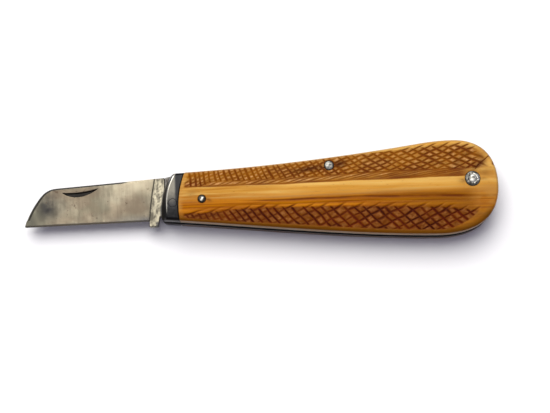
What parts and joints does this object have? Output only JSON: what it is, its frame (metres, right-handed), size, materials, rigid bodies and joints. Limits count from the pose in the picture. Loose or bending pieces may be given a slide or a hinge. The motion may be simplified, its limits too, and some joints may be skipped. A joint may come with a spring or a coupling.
{
  "type": "whittling knife",
  "caption": "Folding slip-joint whittling knife: short straight-edged blade with a nail nick, steel bolsters and checkered bone scales riveted over liners and a back spring.",
  "frame": {"origin": "middle of the footprint, on the plane of the rear scale's flat band, which the knife lies on", "axes": "+X along the handle from the blade's tip to the butt, +Y from the cutting edge to the back spring, +Z out of the front face, which has the nail nick"},
  "size_m": [0.142, 0.0284, 0.0119],
  "materials": {
    "bone": "satin",
    "blade_steel": "satin",
    "spring_steel": "satin",
    "liner_steel": "satin",
    "bolster_iron": "satin",
    "pin_steel": "satin"
  },
  "bodies": {
    "handle": {"front_scale": "bone", "rear_scale": "bone", "front_bolster": "bolster_iron", "rear_bolster": "bolster_iron", "front_liner": "liner_steel", "rear_liner": "liner_steel", "back_spring_tail": "spring_steel", "pivot_pin": "bolster_iron", "centre_pin": "pin_steel", "butt_pin": "pin_steel", "front_butt_washer": "pin_steel", "rear_butt_washer": "pin_steel", "front_scale_pin": "pin_steel", "rear_scale_pin": "pin_steel"},
    "blade": {"blade": "blade_steel"},
    "spring_arm": {"back_spring_arm": "spring_steel"}
  },
  "joints": [
    {"name": "blade_hinge", "type": "hinge", "parent": "handle", "child": "blade", "pos_m": [-0.02619, -0.00195, 0.0058], "axis": [0, 0, 1], "range_deg": [0, 170], "deforming": ["back_spring_arm"]},
    {"name": "spring_flex", "type": "hinge", "parent": "handle", "child": "spring_arm", "pos_m": [0.01281, 0.00745, 0.0058], "axis": [0, 0, -1], "range_deg": [0, 2], "stiffness_Nm_per_rad": 60}
  ]
}
